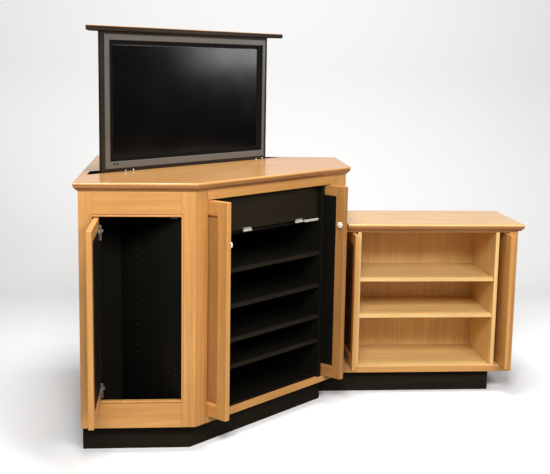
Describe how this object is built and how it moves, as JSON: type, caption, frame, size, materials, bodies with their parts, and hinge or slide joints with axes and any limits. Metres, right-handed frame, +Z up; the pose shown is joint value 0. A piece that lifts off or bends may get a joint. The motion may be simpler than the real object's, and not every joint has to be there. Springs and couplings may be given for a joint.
{
  "type": "corner television cabinet",
  "caption": "Corner television cabinet with a screen on a hidden lift, a slanted front with pocket doors over component shelves, a narrow side bay and a low side unit.",
  "frame": {"origin": "middle of the bounding box footprint, on the floor", "axes": "+X along the back wall from the tall cabinet to the low unit, +Y to that wall, +Z up"},
  "size_m": [2.1346, 1.582, 1.783],
  "materials": {
    "maple": "satin lacquer",
    "maple_interior": "satin lacquer",
    "black_board": "satin black laminate on board",
    "black_plinth": "matt black laminate on board",
    "dark_walnut": "satin dark stain",
    "bezel_plastic": "fine grained",
    "screen_glass": "smooth dark display front",
    "housing_plastic": "moulded black",
    "satin_knob": "satin nickel",
    "nickel": "nickel plate",
    "lift_steel": "drawn steel"
  },
  "bodies": {
    "cabinet": {"main_left_side": "maple", "main_right_side": "maple", "main_back": "maple", "left_bay_left_stile": "maple", "left_bay_right_stile": "maple", "left_bay_top_rail": "maple", "left_bay_bottom_rail": "maple", "centre_left_stile": "maple", "centre_right_stile": "maple", "centre_top_rail": "maple", "centre_bottom_rail": "maple", "main_top": "maple", "main_cornice": "maple", "wing_right_side": "maple", "wing_left_stile": "maple", "wing_right_stile": "maple", "wing_top_rail": "maple", "wing_bottom": "maple", "wing_top": "maple", "wing_cornice": "maple", "wing_back": "maple_interior", "wing_left_partition": "maple_interior", "wing_right_partition": "maple_interior", "wing_shelf_1": "maple_interior", "wing_shelf_2": "maple_interior", "main_bottom": "black_board", "centre_floor": "black_board", "centre_left_partition": "black_board", "centre_right_partition": "black_board", "left_pocket_wall": "black_board", "component_bay_back": "black_board", "component_shelf_1": "black_board", "component_shelf_2": "black_board", "component_shelf_3": "black_board", "component_shelf_4": "black_board", "flap_rail": "black_board", "main_plinth": "black_plinth", "wing_plinth": "black_plinth", "lift_motor": "housing_plastic", "lift_outer_column": "lift_steel"},
    "left_bay_leaf": {"left_bay_door": "maple", "left_bay_hinge_upper": "nickel", "left_bay_hinge_lower": "nickel"},
    "centre_left_leaf": {"centre_left_door": "maple", "centre_left_knob": "satin_knob"},
    "centre_right_leaf": {"centre_right_door": "maple", "centre_right_knob": "satin_knob"},
    "wing_left_leaf": {"wing_left_door": "maple"},
    "wing_right_leaf": {"wing_right_door": "maple"},
    "flap": {"valance_flap": "dark_walnut", "flap_hinge_left": "nickel", "flap_hinge_right": "nickel"},
    "lift_middle": {"lift_middle_stage": "lift_steel"},
    "lift_carriage": {"tv_bezel": "bezel_plastic", "tv_screen": "screen_glass", "tv_rear_housing": "housing_plastic", "tv_surround": "dark_walnut", "lift_lid": "dark_walnut", "lift_mount_plate": "lift_steel", "lift_inner_stage": "lift_steel"}
  },
  "joints": [
    {"name": "left_door_hinge", "type": "hinge", "parent": "cabinet", "child": "left_bay_leaf", "pos_m": [-0.98625, -0.435, 0.6], "axis": [0, 0, 1], "range_deg": [-15, 90]},
    {"name": "centre_left_door_slide", "type": "slide", "parent": "cabinet", "child": "centre_left_leaf", "axis": [0.7071, -0.7071, 0], "range_m": [0, 0.3]},
    {"name": "centre_right_door_slide", "type": "slide", "parent": "cabinet", "child": "centre_right_leaf", "axis": [0.7071, -0.7071, 0], "range_m": [0, 0.3]},
    {"name": "wing_left_door_slide", "type": "slide", "parent": "cabinet", "child": "wing_left_leaf", "axis": [0, -1, 0], "range_m": [0, 0.14]},
    {"name": "wing_right_door_slide", "type": "slide", "parent": "cabinet", "child": "wing_right_leaf", "axis": [0, -1, 0], "range_m": [0, 0.3]},
    {"name": "flap_hinge", "type": "hinge", "parent": "cabinet", "child": "flap", "pos_m": [-0.24155, -0.06509, 0.9165], "axis": [0.7071, 0.7071, 0], "range_deg": [0, 90]},
    {"name": "lift_slide", "type": "slide", "parent": "cabinet", "child": "lift_carriage", "axis": [0, 0, 1], "range_m": [-0.633, 0]},
    {"name": "lift_middle_slide", "type": "slide", "parent": "cabinet", "child": "lift_middle", "axis": [0, 0, 1], "range_m": [-0.317, 0]}
  ],
  "couplings": [
    {"joint": "lift_middle_slide", "follows": "lift_slide", "ratio": 0.5}
  ]
}
